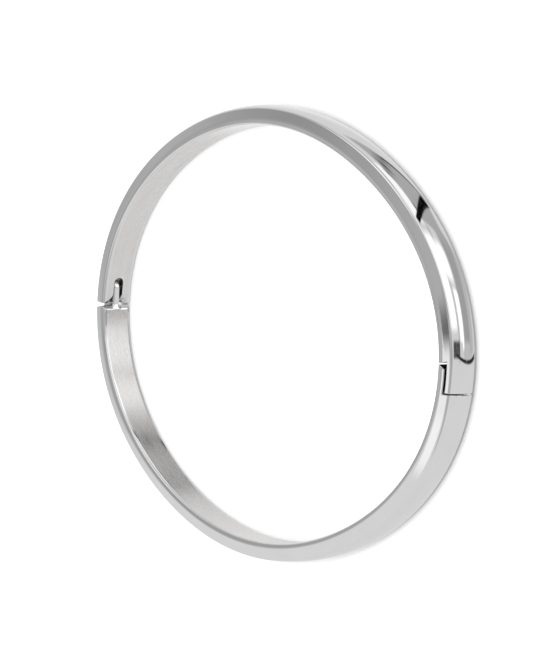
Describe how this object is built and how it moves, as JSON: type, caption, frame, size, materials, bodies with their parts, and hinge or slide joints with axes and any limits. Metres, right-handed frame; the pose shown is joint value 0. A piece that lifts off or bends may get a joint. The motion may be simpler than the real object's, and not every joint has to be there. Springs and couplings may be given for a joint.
{
  "type": "hinged bangle bracelet",
  "caption": "Oval hinged bangle of polished steel: two half bands, a pinned knuckle hinge and a stepped snap clasp that opens for the wrist.",
  "frame": {"origin": "middle of the bangle's box on the plane of its lower rim, closed and lying flat", "axes": "+Z along the axis of the wrist opening, +X along the long axis of the oval from the hinge to the clasp, +Y towards the half band with the fork"},
  "size_m": [0.0693, 0.0536, 0.004],
  "materials": {
    "polished_steel": "mirror polished outside and on the rims, satin brushed along the inner face",
    "pin_steel": "turned and ground",
    "spring_steel": "rolled strip, satin"
  },
  "bodies": {
    "fork_half": {"fork_band": "polished_steel", "hinge_pin": "pin_steel", "spring_clip": "spring_steel", "clip_pin": "pin_steel"},
    "tongue_half": {"tongue_band": "polished_steel", "catch_stud": "pin_steel"}
  },
  "joints": [
    {"name": "hinge", "type": "hinge", "parent": "fork_half", "child": "tongue_half", "pos_m": [-0.03355, 0.0012, 0.002], "axis": [0, 0, -1], "range_deg": [0, 55]}
  ]
}
